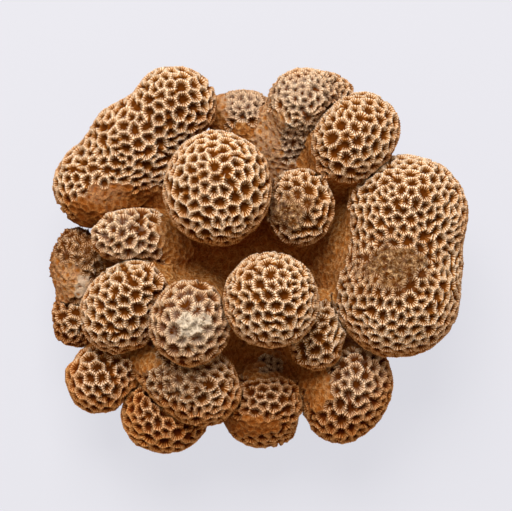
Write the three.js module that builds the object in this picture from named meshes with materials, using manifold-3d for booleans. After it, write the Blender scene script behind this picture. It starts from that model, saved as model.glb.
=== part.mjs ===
// Honeycomb coral: a dead, dried colony about 20 cm across. Rounded heads stand on short stalks
// that all grow from one stem, and the stem is sawn off flat, so the colony rests on the cut.
// Each head is covered with polygonal cups that share their walls, like a honeycomb.
//
// Millimetres, +Z up. The origin is on the cut face, under the middle of the colony.
// +Y is the colony's far side and +X its right side, for somebody who looks down on it.
// The stem and each head with its own stalk are separate solids, split where the stem forks.

import * as THREE from 'three';
import { ConvexHull } from 'three/addons/math/ConvexHull.js';
import { mergeVertices } from 'three/addons/utils/BufferGeometryUtils.js';
import Module from 'manifold-3d';

// Driving dimensions
const CUP_PITCH = 7.9; // least distance between the middles of two cups
const CUP_DEPTH = 2.7; // from the top of the walls to the floor of a cup
const BARE_PITCH = 11.2; // the same distance between points on bare skeleton
const CAP_ANGLE = 112; // degrees from a head's growth axis to the edge of its living cap
const BLEND = 6; // how softly lobes and stalks run into each other
const LUMP_HEIGHT = 0.9; // slow swelling of every surface
const LUMP_LENGTH = 13;
const FORK_GAP = 0.35; // left open where two solids meet
const LONGEST_REACH = 85; // no surface is further than this from the middle of its head
const STRIDE = 2; // a surface is looked for in strides, and then halved down to a tiny step
const EXACT_TO = 1e-5;
const DIRECTIONS = 2200; // ways out of a head in which its surface is looked for
const EVENING_PASSES = 6; // how often the edges between points are gone over
const NO_CORNER = -1;
const CORAL = { color: 0xd2ac78, roughness: 0.85, metalness: 0 };
const OLD_SKELETON = { color: 0xa9733f, roughness: 0.92, metalness: 0 };

// The stem: a low dome whose lower part is cut away at z = 0.
const STEM = {
  name: 'stem',
  middle: [-2, 0, 22],
  lobes: [
    { at: [-2, -2, 18], r: [56, 54, 38] },
    { at: [-38, 8, 20], r: [24, 24, 20] },
    { at: [36, -2, 22], r: [24, 27, 22] },
    { at: [-6, -36, 18], r: [30, 22, 20] },
  ],
};

// Every head: its lobes (middle and radii), its stalk's foot inside the stem and the stalk's radius,
// and the patches that are worn bare. Heads further down the list give way to those above them.
const HEADS = [
  {
    name: 'knob_middle',
    lobes: [{ at: [4.5, -19, 100], r: [22.7, 23.1, 22] }],
    foot: [4, -14, 36],
    stalk: 17,
  },
  {
    name: 'knob_centre',
    lobes: [{ at: [-20.4, 32.8, 96], r: [25.8, 27.2, 24.5] }],
    foot: [-14, 20, 34],
    stalk: 20,
  },
  {
    name: 'knob_lower_left',
    lobes: [{ at: [-33, -30, 94], r: [19.2, 20.8, 18] }],
    foot: [-22, -20, 36],
    stalk: 17,
    bare: [{ at: [-33, -30, 114], r: 7 }],
  },
  {
    name: 'knob_right',
    lobes: [
      { at: [69.6, 22, 74], r: [29.8, 28.2, 27] },
      { at: [64.8, -17.8, 77], r: [30.2, 29.5, 29] },
      { at: [69, -2, 70], r: [27.5, 22, 24] },
    ],
    foot: [30, 1, 24],
    stalk: 25,
    bare: [
      { at: [58, 1, 103], r: 9 },
      { at: [72, 2, 101], r: 9 },
    ],
  },
  {
    name: 'knob_top_right',
    lobes: [
      { at: [48.2, 62, 78], r: [18.2, 17.8, 18] },
      { at: [40.3, 51.7, 87], r: [16, 16.4, 16] },
    ],
    foot: [26, 30, 30],
    stalk: 18.5,
  },
  {
    name: 'knob_centre_right',
    lobes: [{ at: [18.3, 24.5, 84], r: [16.9, 19.3, 17] }],
    foot: [12, 16, 36],
    stalk: 14,
    bare: [
      { at: [10, 20, 99], r: 10 },
      { at: [16, 12, 97], r: 6 },
    ],
  },
  {
    name: 'knob_left',
    lobes: [
      { at: [-67.5, -25.6, 76], r: [19.5, 20.4, 19] },
      { at: [-57.7, -14, 87], r: [12.6, 13.1, 12] },
    ],
    foot: [-30, -12, 30],
    stalk: 18,
  },
  {
    name: 'knob_left_small',
    lobes: [
      { at: [-65, 10.5, 80], r: [17.5, 13.2, 12.5] },
      { at: [-52, 8, 66], r: [14, 15, 14] },
    ],
    foot: [-28, 4, 34],
    stalk: 15,
  },
  {
    name: 'knob_lower_middle',
    lobes: [
      { at: [-27.8, -61.8, 72], r: [19.2, 19.2, 18] },
      { at: [-39, -56.5, 75], r: [13, 12, 12] },
      { at: [-51, -50, 60], r: [14, 12, 14] },
    ],
    foot: [-20, -32, 26],
    stalk: 18,
    bare: [{ at: [-38, -54, 87], r: 11 }],
  },
  {
    name: 'knob_top_left',
    lobes: [
      { at: [-41.6, 72.9, 68], r: [21, 20.8, 20] },
      { at: [-62.2, 57, 66], r: [20.6, 20.6, 20] },
      { at: [-80.2, 35.8, 62], r: [21.3, 21.6, 20] },
      { at: [-61, 35, 46], r: [28, 20, 20] },
    ],
    foot: [-28, 26, 24],
    stalk: 22,
    bare: [
      { at: [-70, 22, 72], r: 13 },
      { at: [-52, 34, 74], r: 12 },
    ],
  },
  {
    name: 'knob_top',
    lobes: [
      { at: [20.6, 74.7, 72], r: [17.2, 17.7, 18] },
      { at: [33.6, 78, 62], r: [13.2, 12.8, 12] },
      { at: [9, 58, 52], r: [15, 14, 16] },
    ],
    foot: [6, 34, 28],
    stalk: 19,
  },
  {
    name: 'knob_middle_right',
    lobes: [
      { at: [26.2, -38.6, 76], r: [14.8, 15.3, 15] },
      { at: [28, -20, 74], r: [8, 8, 8] },
    ],
    foot: [14, -22, 34],
    stalk: 14,
    bare: [{ at: [28, -18, 82], r: 8 }],
  },
  {
    name: 'knob_bottom_right',
    lobes: [
      { at: [46.4, -58.6, 58], r: [18.4, 18.6, 19] },
      { at: [38, -73.8, 56], r: [16.8, 16.6, 17] },
    ],
    foot: [22, -32, 22],
    stalk: 20,
    bare: [{ at: [27, -56, 66], r: 11 }],
  },
  {
    name: 'knob_bottom',
    lobes: [
      { at: [2, -69.6, 58], r: [20, 16.6, 16] },
      { at: [5.5, -83.5, 46], r: [13.3, 9.4, 12] },
      { at: [-13, -70, 45], r: [11, 8.5, 10] },
    ],
    foot: [0, -34, 24],
    stalk: 18,
    bare: [{ at: [4, -58, 72], r: 9 }],
  },
  {
    name: 'knob_bottom_left',
    lobes: [{ at: [-46.8, -75.1, 54], r: [22.6, 19.8, 19.5] }],
    foot: [-24, -34, 22],
    stalk: 18,
  },
  {
    name: 'knob_low_left',
    lobes: [{ at: [-77.6, -58.4, 56], r: [17.6, 16.8, 17] }],
    foot: [-36, -26, 24],
    stalk: 16,
    bare: [{ at: [-62, -52, 64], r: 8 }],
  },
  {
    name: 'knob_left_edge',
    lobes: [
      { at: [-88.8, 2.6, 52], r: [13.8, 14, 14] },
      { at: [-89, -13, 50], r: [13, 12, 13] },
    ],
    foot: [-38, -2, 22],
    stalk: 14.5,
  },
  {
    name: 'knob_left_edge_low',
    lobes: [{ at: [-90.5, -29, 50], r: [12.6, 15.6, 12] }],
    foot: [-38, -14, 22],
    stalk: 12.5,
  },
  {
    name: 'knob_top_small',
    lobes: [
      { at: [-7, 71.8, 55], r: [11.8, 11.4, 12] },
      { at: [-20.5, 70, 46], r: [8, 11.5, 12] },
      { at: [3.5, 65, 52], r: [9.5, 12, 14] },
    ],
    foot: [-7, 34, 22],
    stalk: 14,
    bare: [{ at: [-8, 66, 66], r: 9 }],
  },
];

const vector = ([x, y, z]) => new THREE.Vector3(x, y, z);

// Slow swelling: three crossed waves, the same for every piece that stands at that place.
function lumps(point) {
  const k = (2 * Math.PI) / (LUMP_LENGTH * 2);
  const { x, y, z } = point;
  const waves =
    Math.sin(k * (x + 0.6 * y) + 1) * Math.sin(k * (y - 0.5 * z) + 2) +
    Math.sin(k * 1.7 * (z + 0.4 * x)) * Math.sin(k * 1.5 * (x - y) + 4);
  return (LUMP_HEIGHT * waves) / 2;
}

function ellipsoidDistance(point, lobe) {
  const [rx, ry, rz] = lobe.r;
  const [cx, cy, cz] = lobe.at;
  const share = Math.hypot((point.x - cx) / rx, (point.y - cy) / ry, (point.z - cz) / rz);
  return ((share - 1) * (rx + ry + rz)) / 3;
}

function stalkDistance(point, from, foot, radius) {
  const along = foot.clone().sub(from);
  const t = THREE.MathUtils.clamp(point.clone().sub(from).dot(along) / along.lengthSq(), 0, 1);
  return from.clone().addScaledVector(along, t).distanceTo(point) - radius;
}

// Joins two distances so that the surfaces run into each other without a crease.
function softJoin(a, b) {
  const h = THREE.MathUtils.clamp(0.5 + (0.5 * (b - a)) / BLEND, 0, 1);
  return THREE.MathUtils.lerp(b, a, h) - BLEND * h * (1 - h);
}

function middleOf(head) {
  if (head.middle) return vector(head.middle);
  const sum = new THREE.Vector3();
  for (const lobe of head.lobes) sum.add(vector(lobe.at));
  return sum.divideScalar(head.lobes.length);
}

function distanceTo(head, point) {
  let distance = head.lobes.map((lobe) => ellipsoidDistance(point, lobe)).reduce(softJoin);
  if (head.foot) {
    const stalk = stalkDistance(point, middleOf(head), vector(head.foot), head.stalk);
    distance = softJoin(distance, stalk);
  }
  return distance - lumps(point);
}

// The way straight out of a head's surface: that in which the distance to it grows fastest.
function outwards(head, point) {
  const change = [[1, 0, 0], [0, 1, 0], [0, 0, 1]].map((axis) => {
    const beside = point.clone().add(vector(axis));
    return distanceTo(head, beside) - distanceTo(head, point);
  });
  return vector(change).normalize();
}

// The outermost point of a head's surface in one direction from its middle, grown by swell.
function surfacePoint(head, direction, swell = 0) {
  const middle = middleOf(head);
  const at = (t) => middle.clone().addScaledVector(direction, t);
  let outside = LONGEST_REACH;
  while (outside > STRIDE && distanceTo(head, at(outside - STRIDE)) > swell) outside -= STRIDE;
  let inside = outside - STRIDE;
  while (outside - inside > EXACT_TO) {
    const half = (inside + outside) / 2;
    if (distanceTo(head, at(half)) > swell) outside = half;
    else inside = half;
  }
  return at(inside);
}

// Evenly spread directions, on a spiral from pole to pole.
function spiralDirections(count) {
  const turn = Math.PI * (3 - Math.sqrt(5));
  return Array.from({ length: count }, (_, i) => {
    const z = 1 - (2 * (i + 0.5)) / count;
    const r = Math.sqrt(1 - z * z);
    return new THREE.Vector3(r * Math.cos(i * turn), r * Math.sin(i * turn), z);
  });
}

// Cups grow on the cap of a head that faces away from the stem, and not where it is worn bare.
function hasCup(head, point) {
  if (!head.foot) return false;
  const middle = middleOf(head);
  const axis = middle.clone().sub(vector(head.foot));
  const angle = THREE.MathUtils.radToDeg(axis.angleTo(point.clone().sub(middle)));
  const bare = (head.bare ?? []).some((patch) => vector(patch.at).distanceTo(point) < patch.r);
  return angle < CAP_ANGLE && !bare;
}

// Picks points as animals settle: each as far as it can be from those there before it.
function settle(candidates, pitchAt) {
  const pitch = candidates.map(pitchAt);
  const room = candidates.map(() => Infinity);
  const chosen = [];
  let next = 0;
  while (room[next] > 1) {
    chosen.push(next);
    candidates.forEach((point, i) => {
      const away = point.distanceTo(candidates[chosen.at(-1)]) / Math.max(pitch[i], 1);
      room[i] = Math.min(room[i], away);
    });
    next = room.indexOf(Math.max(...room));
  }
  return chosen;
}

// Triangles between points that lie around a middle, as index triples that face out.
function trianglesAround(directions) {
  const corners = directions.map((d) => d.clone());
  const index = new Map(corners.map((corner, i) => [corner, i]));
  const hull = new ConvexHull().setFromPoints(corners);
  return hull.faces.map((face) => {
    const { edge } = face;
    return [edge.head().point, edge.next.head().point, edge.next.next.head().point].map((p) =>
      index.get(p),
    );
  });
}

// Turns an edge where the other diagonal is the better one, until none is left. No triangle is
// turned inside out by it, as seen from the middle.
function evenOut(directions, points, triangles) {
  const angleAt = (p, a, b) => {
    const u = points[a].clone().sub(points[p]);
    return u.angleTo(points[b].clone().sub(points[p]));
  };
  const facesOut = (a, b, c) => directions[b].clone().cross(directions[c]).dot(directions[a]) > 0;
  for (let pass = 0; pass < EVENING_PASSES; pass++) {
    const sides = new Map();
    triangles.forEach((t, i) => {
      t.forEach((a, k) => sides.set(`${a},${t[(k + 1) % 3]}`, [i, t[(k + 2) % 3]]));
    });
    const turned = new Set();
    for (const [key, [one, tip]] of sides) {
      const [a, b] = key.split(',').map(Number);
      const [two, otherTip] = sides.get(`${b},${a}`);
      if (a > b || turned.has(one) || turned.has(two)) continue;
      if (sides.has(`${tip},${otherTip}`) || sides.has(`${otherTip},${tip}`)) continue;
      if (angleAt(tip, a, b) + angleAt(otherTip, a, b) <= Math.PI) continue;
      if (!facesOut(tip, a, otherTip) || !facesOut(otherTip, b, tip)) continue;
      triangles[one] = [tip, a, otherTip];
      triangles[two] = [otherTip, b, tip];
      turned.add(one).add(two);
    }
    if (!turned.size) return;
  }
}

// Where a head's points lie and how they join. Each settled point on the cap becomes the floor of
// a cup, and each triangle that touches a cup gets a corner in its middle, where walls meet.
function layOut(head) {
  const middle = middleOf(head);
  const spread = spiralDirections(DIRECTIONS);
  const places = spread.map((d) => surfacePoint(head, d));
  const cupped = places.map((p) => hasCup(head, p));
  const chosen = settle(places, (p, i) => (cupped[i] ? CUP_PITCH : BARE_PITCH));
  const directions = chosen.map((i) => spread[i]);
  const depths = chosen.map((i) => (cupped[i] ? CUP_DEPTH : 0));
  const points = chosen.map((i) => places[i]);
  const base = trianglesAround(directions);
  evenOut(directions, points, base);

  const corners = base.map((t) => {
    if (!t.some((i) => depths[i] > 0)) return NO_CORNER;
    const centre = new THREE.Vector3();
    for (const i of t) centre.addScaledVector(points[i], 1 / 3);
    directions.push(centre.sub(middle).normalize());
    depths.push(0);
    return directions.length - 1;
  });
  const sides = new Map();
  base.forEach((t, i) => t.forEach((a, k) => sides.set(`${a},${t[(k + 1) % 3]}`, corners[i])));
  const triangles = base.flatMap((t, i) => {
    if (corners[i] === NO_CORNER) return [t];
    return t.map((a, k) => {
      const b = t[(k + 1) % 3];
      const across = sides.get(`${b},${a}`);
      return [a, across === NO_CORNER ? b : across, corners[i]];
    });
  });
  return { head, directions, depths, triangles };
}

// The skin that a layout gives. A swollen one has no cups: neighbours are cut back with it.
function skinOf({ head, directions, depths, triangles }, swell = 0) {
  const points = directions.map((direction, i) => {
    const point = surfacePoint(head, direction, swell);
    return swell > 0 ? point : point.addScaledVector(outwards(head, point), -depths[i]);
  });
  const geometry = new THREE.BufferGeometry();
  const position = new Float32Array(points.flatMap((p) => p.toArray()));
  geometry.setAttribute('position', new THREE.BufferAttribute(position, 3));
  geometry.setIndex(triangles.flat());
  return geometry;
}

const wasm = await Module();
wasm.setup();

function solidFrom(geometry) {
  const merged = mergeVertices(geometry, 1e-4);
  return new wasm.Manifold(
    new wasm.Mesh({
      numProp: 3,
      vertProperties: merged.attributes.position.array,
      triVerts: new Uint32Array(merged.index.array),
    }),
  );
}

function geometryFrom(solid) {
  const mesh = solid.getMesh();
  const geometry = new THREE.BufferGeometry();
  geometry.setAttribute('position', new THREE.BufferAttribute(mesh.vertProperties, 3));
  geometry.setIndex(new THREE.BufferAttribute(mesh.triVerts, 1));
  return geometry;
}

function largestBody(solid) {
  return solid.decompose().reduce((a, b) => (a.volume() > b.volume() ? a : b));
}

function meshOf(name, solid, look) {
  const flat = geometryFrom(solid).toNonIndexed();
  flat.computeVertexNormals();
  const mesh = new THREE.Mesh(flat, new THREE.MeshStandardMaterial({ ...look, flatShading: true }));
  mesh.name = name;
  return mesh;
}

const colony = new THREE.Group();
colony.name = 'honeycomb_coral';

const stemLayout = layOut(STEM);
const stem = solidFrom(skinOf(stemLayout)).trimByPlane([0, 0, 1], 0);
colony.add(meshOf(STEM.name, stem, OLD_SKELETON));

const taken = [solidFrom(skinOf(stemLayout, FORK_GAP))];
for (const head of HEADS) {
  const layout = layOut(head);
  let solid = solidFrom(skinOf(layout));
  for (const neighbour of taken) solid = solid.subtract(neighbour);
  colony.add(meshOf(head.name, largestBody(solid), CORAL));
  taken.push(solidFrom(skinOf(layout, FORK_GAP)));
}

export default colony;
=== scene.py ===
import math
from collections import namedtuple

import bmesh
import bpy
import numpy as np
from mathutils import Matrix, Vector, kdtree
from mathutils.bvhtree import BVHTree


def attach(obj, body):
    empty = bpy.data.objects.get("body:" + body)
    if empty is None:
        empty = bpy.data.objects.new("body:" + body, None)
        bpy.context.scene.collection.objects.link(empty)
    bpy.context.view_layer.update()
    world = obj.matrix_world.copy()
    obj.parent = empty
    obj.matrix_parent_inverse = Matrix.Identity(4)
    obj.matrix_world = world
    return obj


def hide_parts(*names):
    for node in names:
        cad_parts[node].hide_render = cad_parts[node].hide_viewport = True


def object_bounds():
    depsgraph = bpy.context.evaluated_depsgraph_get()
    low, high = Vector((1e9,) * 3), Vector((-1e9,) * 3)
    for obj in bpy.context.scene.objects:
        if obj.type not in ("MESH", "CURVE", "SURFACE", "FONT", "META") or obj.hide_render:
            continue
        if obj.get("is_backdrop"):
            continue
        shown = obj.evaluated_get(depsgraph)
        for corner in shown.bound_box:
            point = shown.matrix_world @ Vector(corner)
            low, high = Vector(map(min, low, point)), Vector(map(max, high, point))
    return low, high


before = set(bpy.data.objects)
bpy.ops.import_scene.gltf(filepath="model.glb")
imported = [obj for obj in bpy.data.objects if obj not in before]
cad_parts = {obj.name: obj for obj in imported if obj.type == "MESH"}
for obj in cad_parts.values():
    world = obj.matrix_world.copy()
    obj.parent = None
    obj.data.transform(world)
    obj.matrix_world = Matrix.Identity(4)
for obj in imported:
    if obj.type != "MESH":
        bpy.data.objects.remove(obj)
cad_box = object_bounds()

# The view: the colony is seen from straight above, its far side at the top of the picture.
# The camera is 0.9 m over the cut base, and one pixel is about half a millimetre of coral.
photo_width, photo_height = 512, 511
view_point = Vector((-0.0024, 0.0017, 0.9))
focal_pixels = 1729
sensor_width = 36

bpy.ops.object.camera_add(location=view_point, rotation=(0, 0, 0))
camera = bpy.context.object
camera.data.sensor_width = sensor_width
camera.data.lens = sensor_width * focal_pixels / photo_width
bpy.context.scene.camera = camera


def pixels_of(points):
    """Where points of the coral lie in the picture, as rows of a column and a line."""
    away = view_point.z - points[:, 2]
    column = photo_width / 2 + (points[:, 0] - view_point.x) * focal_pixels / away
    line = photo_height / 2 - (points[:, 1] - view_point.y) * focal_pixels / away
    return np.stack([column, line], axis=1)


# The stem: old dead skeleton, orange-brown and porous, that all the stalks grow from. It is one
# lump with faint traces of old cups, sawn off flat underneath, so that the colony stands.
mm = 0.001
form_voxel = 0.9 * mm
form_smoothing = 45  # times
form_softness = 0.5  # of each smoothing
form_swell = 0.35 * mm  # makes up for what the smoothing takes away
seam_reach = 3.5 * mm  # a form this near to another one swells towards it
seam_swell = 0.65  # of what it is nearer than that
cup_trace = 1.2 * mm  # a point this far below its neighbours is the floor of a coarse cup
one_place = 0.001 * mm  # corners this near to each other are one corner
old_pitch = 3.3 * mm  # between the faint old cups of bare skeleton
old_step = 1.1 * mm  # along their walls
saw_height = 0.4 * mm
ripple_grid = 32


def rounded_form(node):
    """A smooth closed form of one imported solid, with its coarse cups filled and its edges soft."""
    bpy.ops.object.select_all(action="DESELECT")
    form = bpy.data.objects.new(node + "_form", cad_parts[node].data.copy())
    bpy.context.collection.objects.link(form)
    form.select_set(True)
    bpy.context.view_layer.objects.active = form
    form.data.materials.clear()
    bpy.ops.object.mode_set(mode="EDIT")
    bpy.ops.mesh.select_all(action="SELECT")
    bpy.ops.mesh.remove_doubles(threshold=one_place)
    mesh = bmesh.from_edit_mesh(form.data)
    mesh.normal_update()
    for vert in mesh.verts:
        around = [edge.other_vert(vert).co for edge in vert.link_edges]
        level = sum(around, Vector()) / len(around)
        if (level - vert.co).dot(vert.normal) > cup_trace:
            vert.co = level
    bmesh.update_edit_mesh(form.data)
    bpy.ops.object.mode_set(mode="OBJECT")
    remesh = form.modifiers.new("even grid", "REMESH")
    remesh.mode = "VOXEL"
    remesh.voxel_size = form_voxel
    smooth = form.modifiers.new("soft edges", "SMOOTH")
    smooth.factor = form_softness
    smooth.iterations = form_smoothing
    swell = form.modifiers.new("swell", "DISPLACE")
    swell.mid_level = 0
    swell.strength = form_swell
    triangles = form.modifiers.new("triangles", "TRIANGULATE")
    for step in (remesh, smooth, swell, triangles):
        bpy.ops.object.modifier_apply(modifier=step.name)
    return form


def close_seams(form, node, strength):
    """Lets a form swell by as much as its strength at each point, where a neighbour is near."""
    corners, faces = [], []
    for other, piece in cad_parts.items():
        if other != node:
            faces += [[len(corners) + i for i in face.vertices] for face in piece.data.polygons]
            corners += [vert.co.copy() for vert in piece.data.vertices]
    around = BVHTree.FromPolygons(corners, faces)
    shifts = []
    for vert, share in zip(form.data.vertices, strength):
        gap = around.find_nearest(vert.co, seam_reach)[3]
        shifts.append(vert.normal * (0 if gap is None else seam_swell * share * (seam_reach - gap)))
    for vert, shift in zip(form.data.vertices, shifts):
        vert.co += shift


def read_array(items, name, width, kind=np.float64):
    """One value of each of many mesh items, as an array with a row for each item."""
    values = np.zeros(len(items) * width, kind)
    items.foreach_get(name, values)
    return values.reshape(-1, width)


def ripple(points, size, pattern):
    """Smooth random height from -1 to 1 at each point, in lumps of about that size."""
    grid = np.random.default_rng(pattern).uniform(-1, 1, (ripple_grid,) * 3)
    place = points / size
    low = np.floor(place).astype(int)
    part = place - low
    part = part * part * (3 - 2 * part)
    total = np.zeros(len(points))
    for corner in np.ndindex(2, 2, 2):
        share = np.prod(np.where(corner, part, 1 - part), axis=1)
        x, y, z = ((low + corner) % ripple_grid).T
        total += share * grid[x, y, z]
    return total


def ripples(points, layers):
    """Several ripples together, each with its height, the size of its lumps and its pattern."""
    return sum(height * ripple(points, size, pattern) for height, size, pattern in layers)


def settle(places, pitch, chance):
    """Picks places at random, each at least its pitch away from all others, until all is full."""
    free = np.ones(len(places), bool)
    chosen = []
    for i in chance.permutation(len(places)):
        if free[i]:
            chosen.append(i)
            free &= np.linalg.norm(places - places[i], axis=1) > (pitch + pitch[i]) / 2
    return np.array(chosen)


def nearest(places, seeds):
    """For each place, the number of the seed that it is closest to."""
    reach = (seeds**2).sum(axis=1) - 2 * places @ seeds.T
    return reach.argmin(axis=1)


def territories(triangles, owner, count):
    """Finds where three owners meet. Returns those corners' triangles, and for each owner its
    loop of (corner, neighbour past that corner). Returns None if the pattern isn't a clean one."""
    seen = owner[triangles]
    a, b, c = seen.T
    meeting = np.nonzero((a != b) & (b != c) & (c != a))[0]
    after = {}
    neighbours = [[] for _ in range(count)]
    for corner, (a, b, c) in enumerate(seen[meeting].tolist()):
        for here, left, right in ((a, b, c), (b, c, a), (c, a, b)):
            after[here, left] = (right, corner)
            neighbours[here].append(left)
    if len(after) < 3 * len(meeting):
        return None
    loops = []
    for here in range(count):
        if len(neighbours[here]) < 3:
            return None
        first = neighbours[here][0]
        left, loop = first, []
        while not loop or left != first:
            if (here, left) not in after or len(loop) > len(neighbours[here]):
                return None
            left, corner = after[here, left]
            loop.append((corner, left))
        if len(loop) != len(neighbours[here]):
            return None
        loops.append(loop)
    return meeting, loops


# The rings of a cup, from the crest of its wall down to its floor. The first three items have a
# value for a long blade, for a slot beside it and for a short blade: how far in from the crest the
# ring lies, how deep as a share of the cup's depth, and how dark, which is partly painted shade
# deepening into the cup. The last two values are the most of the way to the middle that the ring
# may take up, and its share of the rest of the way.
cup_rings = (
    ((0.50 * mm, 0.38 * mm, 0.48 * mm), (0.00, 0.26, 0.02), (0.00, 0.54, 0.03), 0.25, 0),
    ((1.32 * mm, 0.68 * mm, 1.05 * mm), (0.16, 0.68, 0.24), (0.08, 1.00, 0.20), 0.64, 0),
    ((1.42 * mm, 0.92 * mm, 1.20 * mm), (0.80, 0.96, 0.90), (0.88, 1.00, 0.96), 0.72, 0.12),
)
# Bare skeleton's rings: faint old cups, painted darker in their hollows as shade.
bare_rings = (
    ((0.35 * mm,) * 3, (0.15,) * 3, (0.15,) * 3, 0.3, 0),
    ((0.40 * mm,) * 3, (0.70,) * 3, (0.70,) * 3, 0.4, 0.5),
)
slot_reach = (0.24, 0, 0)  # how much deeper and darker a ring's slots are at full reach
blade_reach = (0, 0, 0.40)  # how much less deep and dark a ring's long blades are at full reach
inset_scatter = 0.12
ring_scatter = 0.07 * mm
corner_rounding = 0.4  # how much of the way to a cup's corners its blades fill up
floor_share = 0.97  # of the cup's depth, at its middle
ghost_depth = 0.45 * mm  # of the old cups that still show on bare skeleton

# The crest of a wall: a long blade, a slot, a short blade, a slot and so on from end to end.
long_kind, slot_kind, short_kind = 0, 1, 2
blade_order = np.array([long_kind, slot_kind, short_kind, slot_kind])
blade_step = 0.62 * mm  # from a blade to the slot beside it
crest_height = (0.12 * mm, -0.12 * mm, 0.06 * mm)
# Slots in the crest are painted darker, as shade between the blades.
crest_darkness = (0.0, 0.14, 0.02)
crest_slot_reach = 0.25  # how much darker, and deeper in millimetres, a crest's slots are
corner_smoothing = 0.4
walls_at_corner = 3
open_wall_share = 0.09  # of the walls are broken through, so that two cups run together
open_wall_depth = (0.25, 0.75)  # of the cup's depth
open_wall_roundness = 0.7
# Painted shade where a wall is broken down between two cups.
open_wall_darkness = 0.6
wall_sway = 0.5 * mm
sway_size = 2.1 * mm
sway_patterns = (11, 12, 13)  # one for each axis
crest_unevenness = ((0.26 * mm, 2.6 * mm, 12),)
wall_unevenness = ((0.35, 2.4 * mm, 13),)  # of the thickness of the walls

# Wear: ground crests where a head is bare, and broken, crumbling ones where it is ragged.
ground_height = 1.0 * mm
ground_layers = ((1, 1.7 * mm, 5),)
ground_share = 0.2
ragged_height = 1.1 * mm
ragged_layers = ((-0.8, 1.2 * mm, 9), (-1.2, 2.8 * mm, 14))
ragged_share = 0.35
ragged_scatter = 0.45
# Painted shade where a crest is worn lower.
worn_darkness = 0.45  # for each millimetre
worn_darkness_limit = 1.4 * mm
rib_stretch = 5
cell_states = ("bare", "bleached", "ragged", "stain", "reach")
painted_states = ("bare", "bleached", "stain")  # those that the coral's finish reads


def wall_ends(loops):
    """For each pair of neighbouring cells, the two corners of the wall between them."""
    walls = {}
    for here, loop in enumerate(loops):
        for k, (corner, past) in enumerate(loop):
            ends = (corner, loop[(k + 1) % len(loop)][0])
            walls.setdefault((min(here, past), max(here, past)), ends if here < past else ends[::-1])
    return walls


def step_along(walls, corners, cells, chance):
    """Blades and slots along all walls, after the corners. Returns for each its place, its kind
    and how much of the cups' depth its wall has lost there, and the numbers of each wall's steps."""
    crest = [corners]
    kind = [np.full(len(corners), long_kind)]
    sunk = [np.zeros(len(corners))]
    steps = {}
    total = len(corners)
    for (one, other), (start, end) in walls.items():
        two_cups = cells["cup"][one] and cells["cup"][other]
        alive = cells["cup"][one] or cells["cup"][other]
        length = np.linalg.norm(corners[end] - corners[start])
        count = 2 * max(1, round(length / 2 / (blade_step if alive else old_step)))
        along = (np.arange(1, count) / count)[:, None]
        crest.append(corners[start] * (1 - along) + corners[end] * along)
        kind.append(blade_order[np.arange(1, count) % len(blade_order)])
        is_open = two_cups and chance.random() < open_wall_share
        gone = chance.uniform(*open_wall_depth) if is_open else 0
        sunk.append(gone * np.sin(math.pi * along[:, 0]) ** open_wall_roundness)
        steps[one, other] = list(range(total, total + count - 1))
        total += count - 1
    return np.concatenate(crest), np.concatenate(kind), np.concatenate(sunk), steps


def cell_outlines(loops, steps):
    """The numbers of the crest's points around each cell, in order."""
    outlines = []
    for here, loop in enumerate(loops):
        outline = []
        for corner, past in loop:
            between = steps[min(here, past), max(here, past)]
            outline += [corner] + (between if here < past else between[::-1])
        outlines.append(np.array(outline))
    return outlines


def crest_state(outlines, cells, total):
    """What each point of the crest has from the cells that share it: the mean of their states,
    whether one of them has a cup, and the depth of the deepest."""
    state = {name: np.zeros(total) for name in cell_states}
    living = np.zeros(total, bool)
    deepest = np.zeros(total)
    sharing = np.zeros(total)
    for here, outline in enumerate(outlines):
        for name in state:
            state[name][outline] += cells[name][here]
        living[outline] |= cells["cup"][here]
        deepest[outline] = np.maximum(deepest[outline], cells["depth"][here])
        sharing[outline] += 1
    for name in state:
        state[name] /= sharing
    return state, living, deepest


def weather(crest, kind, sunk, state, living, deepest, old_level):
    """How high each point of the crest stands, how dark it is, and what wear has taken off it."""
    ground = np.clip(ripples(crest, ground_layers) + ground_share, 0, 1)
    worn = ground * state["bare"] * living * ground_height
    worn += ragged_height * state["ragged"] * (ripples(crest, ragged_layers) + ragged_share)
    slotted = crest_slot_reach * (kind == slot_kind) * state["reach"]
    level = (np.array(crest_height)[kind] - slotted * mm) * (1 - state["bare"]) - sunk * deepest
    level += ripples(crest, crest_unevenness)
    level = np.where(living, level, old_level(crest)) - worn
    shade = sunk * open_wall_darkness + np.array(crest_darkness)[kind] + slotted
    shade += worn_darkness / mm * np.clip(worn, 0, worn_darkness_limit)
    return level, np.where(living, shade, 0), worn


def lay_skin(form, piece_name, points, faces, marks, axis):
    """Gives a form its new skin as its mesh, with the attributes that the finish reads."""
    mesh = bpy.data.meshes.new(piece_name)
    mesh.from_pydata(points.tolist(), [], faces)
    for name, values in marks.items():
        layer = mesh.attributes.new(name, "FLOAT", "POINT")
        layer.data.foreach_set("value", np.concatenate(values).astype(np.float32))
    ribbed = points - np.outer(points @ axis, axis) * (1 - 1 / rib_stretch)
    layer = mesh.attributes.new("ribbed", "FLOAT_VECTOR", "POINT")
    layer.data.foreach_set("vector", ribbed.astype(np.float32).ravel())
    mesh.shade_smooth()
    rough = form.data
    form.data = mesh
    bpy.data.meshes.remove(rough)
    form.name = piece_name


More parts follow.
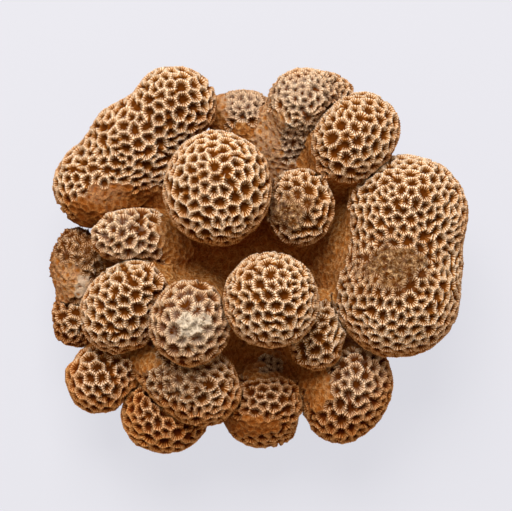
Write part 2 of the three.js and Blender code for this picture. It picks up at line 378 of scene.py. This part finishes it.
def grow_skin(form, piece_name, seeds, cells, old_level, axis, chance):
    """Grows cups, or bare old skeleton, over a form. cells holds for each seed whether it has a
    cup, the cup's depth, the reach of its blades, how bare, bleached and ragged it is, and how much
    shade is painted on it. old_level gives the height of bare skeleton at a point, and axis the way
    in which its ribs run. The new mesh takes the form's place. Returns None where the seeds give no
    clean pattern."""
    places = read_array(form.data.vertices, "co", 3)
    normals = read_array(form.data.vertices, "normal", 3)
    triangles = read_array(form.data.polygons, "vertices", 3, np.int32)
    found = territories(triangles, nearest(places, seeds), len(seeds))
    if found is None:
        return None
    meeting, loops = found
    surface = BVHTree.FromPolygons(places.tolist(), triangles.tolist())
    lookup = kdtree.KDTree(len(places))
    for number, place in enumerate(places):
        lookup.insert(place, number)
    lookup.balance()

    walls = wall_ends(loops)
    ends = np.array(list(walls.values()))
    corners = places[triangles[meeting]].mean(axis=1)
    around = np.zeros_like(corners)
    np.add.at(around, ends[:, 0], corners[ends[:, 1]])
    np.add.at(around, ends[:, 1], corners[ends[:, 0]])
    corners = (1 - corner_smoothing) * corners + corner_smoothing * around / walls_at_corner

    crest, kind, sunk, steps = step_along(walls, corners, cells, chance)
    sway = np.stack([ripple(crest, sway_size, pattern) for pattern in sway_patterns], axis=1)
    crest = np.array([surface.find_nearest(point)[0] for point in crest + wall_sway * sway])
    crest_normal = normals[[lookup.find(point)[1] for point in crest]]
    total = len(crest)
    outlines = cell_outlines(loops, steps)
    state, living, deepest = crest_state(outlines, cells, total)
    level, shade, worn = weather(crest, kind, sunk, state, living, deepest, old_level)

    points = [crest + crest_normal * level[:, None]]
    marks = {name: [state[name]] for name in painted_states}
    marks["tone"] = [np.full(total, 0.5)]
    marks["dark"] = [shade]
    marks["old"] = [1.0 - living]
    faces = []
    for here, outline in enumerate(outlines):
        edge, up, blade = crest[outline], crest_normal[outline], kind[outline]
        middle = edge.mean(axis=0)
        to_middle = middle - edge
        way = np.linalg.norm(to_middle, axis=1)[:, None]
        middle_up = up.mean(axis=0)
        middle_up /= np.linalg.norm(middle_up)
        count = len(outline)
        outer = outline
        has_cup = cells["cup"][here]
        depth = cells["depth"][here]
        top = -sunk[outline] * deepest[outline]
        crumbling = ragged_scatter * ragged_height * cells["ragged"][here]
        cell_marks = {name: cells[name][here] for name in painted_states}
        cell_marks["tone"] = chance.random()
        cell_marks["old"] = 0.0 if has_cup else 1.0
        long_blade = (blade == long_kind) * cells["reach"][here]
        slot = (blade == slot_kind) * cells["reach"][here]
        thickness = 1 + ripples(edge, wall_unevenness)
        for number, ring in enumerate(cup_rings if has_cup else bare_rings):
            inset, deep, shade = (np.array(values)[blade] for values in ring[:3])
            most, onward = ring[3:]
            inset = (inset * thickness)[:, None] * (1 + chance.normal(0, inset_scatter, (count, 1)))
            if number > 0:
                inset += corner_rounding * (way - way.min())
            inset = np.minimum(inset, most * way)
            share = inset / way
            share = share + (1 - share) * onward
            flat = edge + to_middle * share
            tilt = up * (1 - share) + middle_up * share
            if has_cup:
                eased = blade_reach[number] * long_blade - slot_reach[number] * slot
                deep = deep - eased
                shade = np.maximum(shade, top / -depth) - eased
                height = top + (-depth - top) * deep + chance.normal(0, ring_scatter, count)
                height -= worn[outline] * (1 - deep)
            else:
                height = old_level(flat) - ghost_depth * deep
            height += chance.normal(0, 1, count) * crumbling
            points.append(flat + tilt * height[:, None])
            marks["dark"].append(shade)
            for name, value in cell_marks.items():
                marks[name].append(np.full(count, value))
            inner = np.arange(total, total + count)
            total += count
            rows = (outer, np.roll(outer, -1), np.roll(inner, -1), inner)
            faces += zip(*(row.tolist() for row in rows))
            outer = inner
        height = -floor_share * depth if has_cup else old_level(middle[None])[0] - ghost_depth
        points.append((middle + middle_up * height)[None])
        marks["dark"].append([1.0])
        for name, value in cell_marks.items():
            marks[name].append([value])
        faces += zip(outer.tolist(), np.roll(outer, -1).tolist(), [total] * count)
        total += 1

    points = np.clip(np.concatenate(points), cad_box[0], cad_box[1])
    lay_skin(form, piece_name, points, faces, marks, axis)
    return form


class Signal:
    """A socket of a material's node. Python's arithmetic on it adds the material's Math nodes."""

    def __init__(self, finish, socket):
        self.finish = finish
        self.socket = socket

    def maths(self, operation, first, second):
        return self.finish.add("ShaderNodeMath", {"operation": operation}, {0: first, 1: second})

    def __add__(self, other):
        return self.maths("ADD", self, other)

    def __radd__(self, other):
        return self.maths("ADD", other, self)

    def __sub__(self, other):
        return self.maths("SUBTRACT", self, other)

    def __rsub__(self, other):
        return self.maths("SUBTRACT", other, self)

    def __mul__(self, other):
        return self.maths("MULTIPLY", self, other)

    def __rmul__(self, other):
        return self.maths("MULTIPLY", other, self)


class Finish:
    """A material whose nodes are added one by one."""

    def __init__(self, name):
        self.material = bpy.data.materials.new(name)
        self.material.use_nodes = True
        self.tree = self.material.node_tree
        self.shader = self.tree.nodes["Principled BSDF"]

    def add(self, kind, settings=None, sockets=None, output=0):
        """Adds a node, makes its settings, then fills its sockets with values or with signals."""
        node = self.tree.nodes.new(kind)
        for name, value in (settings or {}).items():
            if name == "stops":
                ramp = node.color_ramp.elements
                while len(ramp) < len(value):
                    ramp.new(1)
                for element, (place, colour) in zip(ramp, value):
                    element.position = place
                    element.color = (*colour, 1)
            else:
                setattr(node, name, value)
        for name, value in (sockets or {}).items():
            self.feed(node.inputs[name], value)
        return Signal(self, node.outputs[output])

    def feed(self, socket, value):
        if isinstance(value, Signal):
            self.tree.links.new(value.socket, socket)
        elif isinstance(value, tuple) and len(socket.default_value) > len(value):
            socket.default_value = (*value, 1)
        else:
            socket.default_value = value

    def read(self, name, output="Fac"):
        return self.add("ShaderNodeAttribute", {"attribute_name": name}, output=output)

    def noise(self, scale, detail, vector, roughness=0.5):
        sockets = {"Vector": vector, "Scale": scale, "Detail": detail, "Roughness": roughness}
        return self.add("ShaderNodeTexNoise", {}, sockets, "Fac")

    def between(self, low, high, value):
        """0 where value is at or under low, 1 where it is at or over high, and smooth between."""
        sockets = {"Value": value, "From Min": low, "From Max": high}
        return self.add("ShaderNodeMapRange", {"interpolation_type": "SMOOTHSTEP"}, sockets)

    def mix(self, share, first, second, blend="MIX"):
        sockets = {"Factor": share, 6: first, 7: second}
        settings = {"data_type": "RGBA", "blend_type": blend}
        return self.add("ShaderNodeMix", settings, sockets, 2)


# Dry aragonite skeleton. Crests and blades are cream, and the cups run to dark brown, partly with
# the dust and dried matter in them and partly as painted shade that deepens from the crests to the
# floors. Bare skeleton is stained orange-brown and ribbed along the stalk.
crest_white = (0.95, 0.84, 0.72)
crest_cream = (0.75, 0.49, 0.26)
wall_tan = (0.36, 0.132, 0.020)
cup_brown = (0.16, 0.047, 0.005)
floor_brown = (0.115, 0.027, 0.001)
stain_orange = (0.40, 0.140, 0.022)
stain_pale = (0.70, 0.40, 0.16)
# Painted shade tint, multiplied over flanks, low parts and the near side.
painted_flank_shade = (0.70, 0.42, 0.18)
# Orange of the stem and the stalks' feet, partly their own colour and partly a painted warm glow of light
# bounced in the deep crevices.
root_orange_and_bounce = (0.78, 0.34, 0.085)
# Painted deep-shade brown, for where a worn place's extra shade is strongest.
deep_shade_brown = (0.50, 0.40, 0.24)
ground_tan = (0.31, 0.15, 0.042)
bleached_white = (0.84, 0.73, 0.59)
dust_grey = (0.19, 0.092, 0.03)
root_top = 66 * mm  # the orange of the stem and of the stalks' feet begins here
root_bottom = 30 * mm


def coral_finish():
    finish = Finish("dry coral skeleton")
    place = finish.add("ShaderNodeTexCoord", output="Object")
    ribbed = finish.read("ribbed", "Vector")
    dark, old = finish.read("dark"), finish.read("old")
    bare, bleached, tone = finish.read("bare"), finish.read("bleached"), finish.read("tone")
    stain = finish.read("stain")
    clouds = finish.noise(scale=70, detail=3, vector=place)
    mottle = finish.noise(scale=420, detail=3, vector=place)
    grains = finish.noise(scale=2600, detail=2, vector=place)
    ribs = finish.noise(scale=1000, detail=3, vector=ribbed, roughness=0.6)
    pores = finish.noise(scale=1300, detail=1, vector=place)
    crumbs = finish.noise(scale=620, detail=4, vector=place, roughness=0.68)

    # The darkness runs the ramp from crest white to floor brown: partly dark matter in the cups, partly
    # painted shade deepening into them.
    depth = dark + (mottle - 0.5) * 0.25
    stops = [(0.04, crest_white), (0.19, crest_cream), (0.37, wall_tan), (0.53, cup_brown)]
    stops.append((0.94, floor_brown))
    living = finish.add("ShaderNodeValToRGB", {"stops": stops}, {"Fac": depth})
    streaks = crumbs * 0.6 + ribs * 0.4
    stained = finish.mix(finish.between(0.36, 0.64, streaks), stain_orange, stain_pale)
    # Faint old cups on bare skeleton are painted a darker orange, as shade in their hollows.
    stained = finish.mix(finish.between(0.1, 0.9, dark + (mottle - 0.5) * 0.8), stained, stain_orange)
    # Dark pores: painted shade in pores that the bump dents in.
    stained = finish.mix(finish.between(0.52, 0.66, pores) * 0.7, stained, cup_brown)
    ground = finish.mix(finish.between(0.42, 0.62, mottle), ground_tan, dust_grey)
    # Cream on the crumbs' tops and brown in their hollows: partly grain colour, partly painted highlight and
    # shade following the crumbs' bumps.
    ground = finish.mix(finish.between(0.52, 0.61, crumbs), ground, crest_cream)
    ground = finish.mix(finish.between(0.495, 0.41, crumbs), ground, floor_brown)
    colour = finish.mix(finish.between(0.35, 1, bare) * (1 - dark * 0.5), living, ground)
    height = finish.add("ShaderNodeSeparateXYZ", {}, {"Vector": place}, "Z")
    root = finish.between(root_top, root_bottom, height)
    # Towards the root: partly the skeleton's own orange, partly a painted warm glow of bounced light,
    # brighter on the crumbs.
    stained = finish.mix(root * (0.3 + finish.between(0.4, 0.6, crumbs) * 0.6), stained, root_orange_and_bounce)
    colour = finish.mix(old, colour, stained)
    pale = bleached * finish.between(0.3, 0.62, mottle + (0.26 - dark * 0.55) + bleached * 0.3)
    colour = finish.mix(pale, colour, bleached_white)
    # Painted shade: flanks, low parts and the near side are multiplied darker, less so on old skeleton near
    # the root; where a worn place's extra shade is strongest, a deeper brown is multiplied in as well.
    flank = finish.between(0.1, 1.1, stain + (clouds - 0.5) * 0.8)
    colour = finish.mix(flank * (0.95 - old * (0.4 + root * 0.5)), colour, painted_flank_shade, "MULTIPLY")
    colour = finish.mix(finish.between(1.2, 2.2, stain) * 0.9, colour, deep_shade_brown, "MULTIPLY")
    shade = 0.84 + grains * 0.2 + (tone - 0.5) * 0.14 + (clouds - 0.5) * 0.2
    shade = finish.add("ShaderNodeCombineColor", {}, {"Red": shade, "Green": shade, "Blue": shade})
    colour = finish.mix(1.0, colour, shade, "MULTIPLY")
    finish.feed(finish.shader.inputs["Base Color"], colour)
    finish.feed(finish.shader.inputs["Roughness"], 0.78 + grains * 0.2)
    finish.shader.inputs["Specular IOR Level"].default_value = 0.06

    rough = old * ribs * 0.8 - pores * (0.2 + old * 0.6) + crumbs * (0.2 + bare * 4.4 - old * 1.4)
    height = grains * 0.4 + mottle * 0.4 + rough
    sockets = {"Strength": 0.85, "Distance": 0.6 * mm, "Height": height}
    bump = finish.add("ShaderNodeBump", {}, sockets)
    finish.feed(finish.shader.inputs["Normal"], bump)
    return finish.material


coral_skeleton = coral_finish()
old_layers = ((0.8 * mm, 13 * mm, 10), (0.55 * mm, 5 * mm, 6), (0.4 * mm, 1.9 * mm, 7))
upward = np.array([0, 0, 1])
stem_draw = 5000


def old_roughness(points):
    """Lumps and pits of bare skeleton, up or down from its level."""
    return ripples(points, old_layers)


stem_form = rounded_form("stem")
close_seams(stem_form, "stem", np.ones(len(stem_form.data.vertices)))
stem_places = read_array(stem_form.data.vertices, "co", 3)
stem = None
attempt = 0
while stem is None:
    chance = np.random.default_rng(stem_draw + attempt)
    seeds = stem_places[settle(stem_places, np.full(len(stem_places), old_pitch), chance)]
    cells = {name: np.zeros(len(seeds)) for name in ("depth", "reach", "bleached", "ragged")}
    # The stem is bare skeleton and gets the full painted shade of a low part deep among the stalks.
    cells |= {name: np.ones(len(seeds)) for name in ("bare", "stain")}
    cells["cup"] = np.zeros(len(seeds), bool)
    stem = grow_skin(stem_form, "stem_skin", seeds, cells, old_roughness, upward, chance)
    attempt += 1

# The sawn face: the stem is cut through a little above its lowest point and let down on the cut.
sawn = Finish("sawn coral face")
place = sawn.add("ShaderNodeTexCoord", output="Object")
stretched = sawn.add("ShaderNodeMapping", {}, {"Vector": place, "Scale": (1, 14, 1)})
marks = sawn.noise(scale=90, detail=3, vector=stretched)
# Dark open pores: painted shade in pores that the bump dents in.
open_pores = sawn.between(0.56, 0.62, sawn.noise(scale=700, detail=2, vector=place))
sawn_colour = sawn.mix(sawn.between(0.35, 0.65, marks), crest_cream, ground_tan)
sawn_colour = sawn.mix(open_pores, sawn_colour, cup_brown)
sawn.feed(sawn.shader.inputs["Base Color"], sawn_colour)
sawn.shader.inputs["Roughness"].default_value = 0.9
sockets = {"Strength": 0.6, "Distance": 0.4 * mm, "Height": marks * 0.4 - open_pores}
sawn.feed(sawn.shader.inputs["Normal"], sawn.add("ShaderNodeBump", {}, sockets))

bpy.ops.object.select_all(action="DESELECT")
stem.select_set(True)
bpy.context.view_layer.objects.active = stem
stem.data.materials.append(coral_skeleton)
stem.data.materials.append(sawn.material)
bpy.ops.object.mode_set(mode="EDIT")
bpy.ops.mesh.select_all(action="SELECT")
cut = {"plane_co": (0, 0, saw_height), "plane_no": (0, 0, 1)}
bpy.ops.mesh.bisect(**cut, use_fill=True, clear_inner=True, threshold=one_place)
stem.active_material_index = 1
bpy.ops.object.material_slot_assign()
bpy.ops.mesh.select_all(action="SELECT")
bpy.ops.transform.translate(value=(0, 0, -saw_height))
bpy.ops.object.mode_set(mode="OBJECT")
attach(stem, "root")
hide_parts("stem")

# The heads: each is the living end of a branch, a dome of polygonal cups that share their walls.
# Blades stand out of the walls like the teeth of a comb. Where a head is worn, the walls are
# broken or ground flat, and below its cap the stalk is bare.
cup_pitch = 4.0 * mm
cup_depth = 3.1 * mm
cup_size_spread = (0.74, 1.34)
cup_depth_spread = (0.8, 1.2)
cup_size_change = ((0.15, 4 * mm, 8),)  # from one side of a head to another
worn_shallowness = 0.85
blade_reach_scatter = 0.15
centring = 0.25  # how much of the way to the middle of its cell each seed is moved
cap_angle = math.radians(108)
cap_edge_sway = ((0.12, 9 * mm, 3),)  # radians
neck_depth = -0.5 * mm
root_height = 1.1 * mm
neck_end = 0.35  # of the stalk, from the middle of the head down
root_start = 0.85
size_draw = 900  # where the random draws of the cups' sizes start
seed_draw = 100  # from the random draws of one head's seeds to the next head's

# Painted shade: sides, low parts and the near half of the colony are painted darker than what faces up and
# towards the far light.
lean_shade = 0.9
far_side_relief = 0.5
shade_top = 80 * mm
shade_fall = 70 * mm
near_shade = 0.6
near_line = -40 * mm
near_fall = 40 * mm

# A worn place has its place in the picture, its half width and half height there in pixels, how
# bare, bleached and ragged it is, and how much extra painted shade it has. Bare above 1 means that
# it has no cups at all, and bare below 0 that cups live on there on a bare stalk. Extra shade below
# 0 is painted light, lighter than around.
place_names = "column line half_width half_height bare bleached ragged soiled"
Worn = namedtuple("Worn", place_names, defaults=(0, 0, 0, 0))
no_cups = 1.5  # how bare the stalks are
worn_rim = 1.25  # how far out a worn place ends, beside its half size
worn_fade = 0.5  # how far in from there it is at its full strength
worn_rim_sway = ((0.18, 4 * mm, 4),)

# For each head: its middle and its stalk's foot in millimetres, the size of its cups beside the
# usual one, how far in its blades reach, and its worn places.
Head = namedtuple("Head", "middle foot cup_size blade_reach worn", defaults=((),))
heads = {
    "knob_middle": Head(
        middle=(4.5, -19, 100),
        foot=(4, -14, 36),
        cup_size=1.12,
        blade_reach=0.5,
    ),
    "knob_centre": Head(
        middle=(-20.4, 32.8, 96),
        foot=(-14, 20, 34),
        cup_size=1.25,
        blade_reach=0.25,
    ),
    "knob_lower_left": Head(
        middle=(-33, -30, 94),
        foot=(-22, -20, 36),
        cup_size=1.3,
        blade_reach=0.85,
        worn=(
            Worn(column=190, line=324, half_width=20, half_height=17, bare=0.6, bleached=1.0, ragged=1.5),
            Worn(column=189, line=324, half_width=38, half_height=36, bare=0.1, bleached=0.2, ragged=0.35),
        ),
    ),
    "knob_right": Head(
        middle=(67.8, 0.7, 73.7),
        foot=(30, 1, 24),
        cup_size=1.07,
        blade_reach=0.5,
        worn=(
            Worn(column=393, line=266, half_width=34, half_height=18, bare=1.0, bleached=0.05, ragged=0.9),
            Worn(column=388, line=263, half_width=52, half_height=32, bare=0.3, bleached=0.05, ragged=0.5),
        ),
    ),
    "knob_top_right": Head(
        middle=(44.2, 56.9, 82.5),
        foot=(26, 30, 30),
        cup_size=1.2,
        blade_reach=0.65,
    ),
    "knob_centre_right": Head(
        middle=(18.3, 24.5, 84),
        foot=(12, 16, 36),
        cup_size=1.25,
        blade_reach=0.8,
        worn=(
            Worn(column=284, line=211, half_width=26, half_height=19, bare=1.0, bleached=0.1, ragged=0.6),
            Worn(column=272, line=180, half_width=12, half_height=14, bare=0.6, ragged=0.6),
        ),
    ),
    "knob_left": Head(
        middle=(-62.6, -19.8, 81.5),
        foot=(-30, -12, 30),
        cup_size=1.22,
        blade_reach=0.5,
    ),
    "knob_left_small": Head(
        middle=(-58.5, 9.3, 73),
        foot=(-28, 4, 34),
        cup_size=1.22,
        blade_reach=0.55,
        worn=(
            Worn(column=178, line=240, half_width=20, half_height=40, bare=no_cups),
            Worn(column=125, line=238, half_width=34, half_height=24, bleached=0.2, ragged=0.25),
        ),
    ),
    "knob_lower_middle": Head(
        middle=(-39.3, -56.1, 69),
        foot=(-20, -32, 26),
        cup_size=1.05,
        blade_reach=0.6,
        worn=(
            Worn(
                column=178, line=378, half_width=27, half_height=21,
                bare=0.6, bleached=0.15, ragged=0.9, soiled=-0.9,
            ),
            Worn(column=140, line=356, half_width=18, half_height=16, bare=no_cups),
        ),
    ),
    "knob_top_left": Head(
        middle=(-61.3, 50.4, 60.5),
        foot=(-28, 26, 24),
        cup_size=1.08,
        blade_reach=0.45,
        worn=(
            Worn(column=122, line=212, half_width=54, half_height=24, bare=no_cups, soiled=1.6),
            Worn(column=104, line=196, half_width=20, half_height=11, bare=0.9, bleached=0.2, ragged=0.5),
        ),
    ),
    "knob_top": Head(
        middle=(21.1, 70.2, 62),
        foot=(6, 34, 28),
        cup_size=0.95,
        blade_reach=0.4,
        worn=(
            Worn(column=302, line=92, half_width=38, half_height=22, bare=0.3, bleached=0.35, ragged=0.6),
            Worn(
                column=262, line=156, half_width=36, half_height=52,
                bare=no_cups, bleached=0.2, ragged=0.4, soiled=-0.4,
            ),
            Worn(
                column=300, line=140, half_width=20, half_height=26,
                bare=-0.5, bleached=0.25, ragged=0.7, soiled=-0.5,
            ),
        ),
    ),
    "knob_middle_right": Head(
        middle=(27.1, -29.3, 75),
        foot=(14, -22, 34),
        cup_size=1.14,
        blade_reach=0.8,
        worn=(
            Worn(column=322, line=288, half_width=15, half_height=14, bare=no_cups),
        ),
    ),
    "knob_bottom_right": Head(
        middle=(42.2, -66.2, 57),
        foot=(22, -32, 22),
        cup_size=1.14,
        blade_reach=0.6,
        worn=(
            Worn(column=316, line=384, half_width=15, half_height=24, bare=no_cups),
            Worn(column=360, line=380, half_width=30, half_height=30, bleached=0.15, ragged=0.2),
        ),
    ),
    "knob_bottom": Head(
        middle=(-1.8, -74.4, 49.7),
        foot=(0, -34, 24),
        cup_size=1.1,
        blade_reach=0.5,
        worn=(
            Worn(column=268, line=356, half_width=50, half_height=22, bare=no_cups),
            Worn(column=245, line=427, half_width=34, half_height=10, bare=no_cups, soiled=0.8),
            Worn(
                column=271, line=363, half_width=12, half_height=10,
                bare=-0.3, bleached=0.4, ragged=0.6, soiled=-0.4,
            ),
        ),
    ),
    "knob_bottom_left": Head(
        middle=(-46.8, -75.1, 54),
        foot=(-24, -34, 22),
        cup_size=1.14,
        blade_reach=0.4,
    ),
    "knob_low_left": Head(
        middle=(-77.6, -58.4, 56),
        foot=(-36, -26, 24),
        cup_size=1.15,
        blade_reach=0.3,
        worn=(
            Worn(column=142, line=364, half_width=14, half_height=16, bare=no_cups),
        ),
    ),
    "knob_left_edge": Head(
        middle=(-88.9, -5.2, 51),
        foot=(-38, -2, 22),
        cup_size=1.15,
        blade_reach=0.8,
        worn=(
            Worn(column=72, line=250, half_width=45, half_height=40, bare=0.6, ragged=1.0),
            Worn(column=60, line=280, half_width=20, half_height=26, bare=no_cups, bleached=0.15, ragged=0.5),
            Worn(column=84, line=289, half_width=8, half_height=12, bare=no_cups, bleached=0.6, ragged=0.1),
        ),
    ),
    "knob_left_edge_low": Head(
        middle=(-90.5, -29, 50),
        foot=(-38, -14, 22),
        cup_size=1.12,
        blade_reach=0.4,
        worn=(
            Worn(column=75, line=318, half_width=40, half_height=40, bare=0.3, ragged=0.4),
        ),
    ),
    "knob_top_small": Head(
        middle=(-8, 68.9, 51),
        foot=(-7, 34, 22),
        cup_size=1.0,
        blade_reach=0.8,
        worn=(
            Worn(column=246, line=102, half_width=24, half_height=18, bare=0.2, bleached=0.4, ragged=0.4),
            Worn(column=243, line=148, half_width=44, half_height=24, bare=no_cups),
            Worn(column=216, line=106, half_width=9, half_height=30, bare=no_cups),
        ),
    ),
}

for number, (node, head) in enumerate(heads.items()):
    middle = np.array(head.middle) * mm
    axis = middle - np.array(head.foot) * mm
    stalk_length = np.linalg.norm(axis)
    axis /= stalk_length
    form = rounded_form(node)
    places = read_array(form.data.vertices, "co", 3)
    facing = read_array(form.data.vertices, "normal", 3)

    def state_of(points, up):
        """How bare, bleached and ragged the skin is, and how much shade is painted on it. Bare above 1 means
        no cups.
        """
        off = points - middle
        angle = np.arccos(np.clip(off @ axis / np.linalg.norm(off, axis=1), -1, 1))
        bare = np.where(angle > cap_angle + ripples(points, cap_edge_sway), no_cups, 0)
        bleached, ragged = np.zeros(len(points)), np.zeros(len(points))
        up = up / np.linalg.norm(up, axis=1)[:, None]
        # Painted shade: more on the sides and on what faces away from the far light, on low parts and towards
        # the near side, capped at 1 before a worn place's extra shade.
        stain = (lean_shade - far_side_relief * up[:, 1]) * (1 - up[:, 2])
        stain += np.clip((shade_top - points[:, 2]) / shade_fall, 0, 1)
        stain += near_shade * np.clip((near_line - points[:, 1]) / near_fall, 0, 1)
        stain = np.minimum(stain, 1)
        column, line = pixels_of(points).T
        for worn in head.worn:
            across = (column - worn.column) / worn.half_width
            away = np.hypot(across, (line - worn.line) / worn.half_height)
            away += ripples(points, worn_rim_sway)
            here = np.clip((worn_rim - away) / worn_fade, 0, 1) * (up[:, 2] > 0)
            bare = np.maximum(bare, worn.bare * np.where(worn.bare > 1, here > 0.5, here))
            if worn.bare < 0:
                bare = np.where(here > 0.5, -worn.bare, bare)
            bleached = np.maximum(bleached, worn.bleached * here)
            ragged = np.maximum(ragged, worn.ragged * here)
            stain += worn.soiled * here
        return bare, bleached, ragged, stain

    def old_level(points):
        """Bare skeleton lies back below the cap, swells towards its root, and is rough."""
        along = (middle - points) @ axis / stalk_length
        rise = np.clip((along - neck_end) / (root_start - neck_end), 0, 1)
        return neck_depth + (root_height - neck_depth) * rise + old_roughness(points)

    bare = state_of(places, facing)[0]
    close_seams(form, node, np.clip(bare - (no_cups - 1), 0, 1))
    places = read_array(form.data.vertices, "co", 3)
    facing = read_array(form.data.vertices, "normal", 3)
    mixed = np.random.default_rng(size_draw + number).uniform(*cup_size_spread, len(places))
    lively = cup_pitch * head.cup_size * (1 + ripples(places, cup_size_change)) * mixed
    pitch = np.where(bare > 1, old_pitch, lively)
    piece = None
    attempt = 0
    while piece is None:
        chance = np.random.default_rng(seed_draw * number + attempt)
        seeds = places[settle(places, pitch, chance)]
        owner = nearest(places, seeds)
        sizes = np.bincount(owner, minlength=len(seeds))[:, None]
        centred = np.zeros_like(seeds)
        np.add.at(centred, owner, places)
        seeds = (1 - centring) * seeds + centring * centred / sizes
        ups = np.zeros_like(seeds)
        np.add.at(ups, owner, facing)
        bare, bleached, ragged, stain = state_of(seeds, ups)
        reach = head.blade_reach + chance.normal(0, blade_reach_scatter, len(seeds))
        depth = cup_depth * (1 - worn_shallowness * np.minimum(bare, 1))
        cells = {
            "cup": bare <= 1,
            "bare": np.minimum(bare, 1),
            "bleached": bleached,
            "ragged": ragged,
            "stain": stain,
            "reach": np.clip(reach, 0, 1),
            "depth": depth * chance.uniform(*cup_depth_spread, len(seeds)),
        }
        piece = grow_skin(form, node + "_skin", seeds, cells, old_level, axis, chance)
        attempt += 1
    piece.data.materials.append(coral_skeleton)
    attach(piece, "root")
    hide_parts(node)

# The stage: a pale floor, soft light from the far side and from all around.
floor_size = 6
paper_grey = (0.12, 0.118, 0.124, 1)
paper_glow = (0.762, 0.779, 0.856, 1)
paper_glow_strength = 0.84
window_place = Vector((-0.1, 0.6, 1.06))
window_way = Vector((-0.1, 0.6, 1.0))  # from the colony to the window
window_size = 0.6
window_power = 18
window_white = (1.0, 0.97, 0.93)
room_warmth = (1.0, 0.75, 0.48, 1)
room_strength = 0.57

bpy.ops.mesh.primitive_plane_add(size=floor_size, location=(0, 0, 0))
floor = bpy.context.object
floor.name = "floor"
paper = Finish("pale paper")
paper.shader.inputs["Base Color"].default_value = paper_grey
paper.shader.inputs["Roughness"].default_value = 1
paper.shader.inputs["Specular IOR Level"].default_value = 0
paper.shader.inputs["Emission Color"].default_value = paper_glow
paper.shader.inputs["Emission Strength"].default_value = paper_glow_strength
floor.data.materials.append(paper.material)
floor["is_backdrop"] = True

bpy.ops.object.light_add(type="AREA", location=window_place)
window = bpy.context.object
window.data.size = window_size
window.data.energy = window_power
window.data.color = window_white
window.rotation_euler = window_way.to_track_quat("Z", "Y").to_euler()

world = bpy.data.worlds.new("soft room")
bpy.context.scene.world = world
world.use_nodes = True
world.node_tree.nodes["Background"].inputs["Color"].default_value = room_warmth
world.node_tree.nodes["Background"].inputs["Strength"].default_value = room_strength
bpy.context.scene.view_settings.view_transform = "Standard"

sizes = {"cad": [list(corner) for corner in cad_box], "visual": [list(corner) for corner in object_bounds()]}
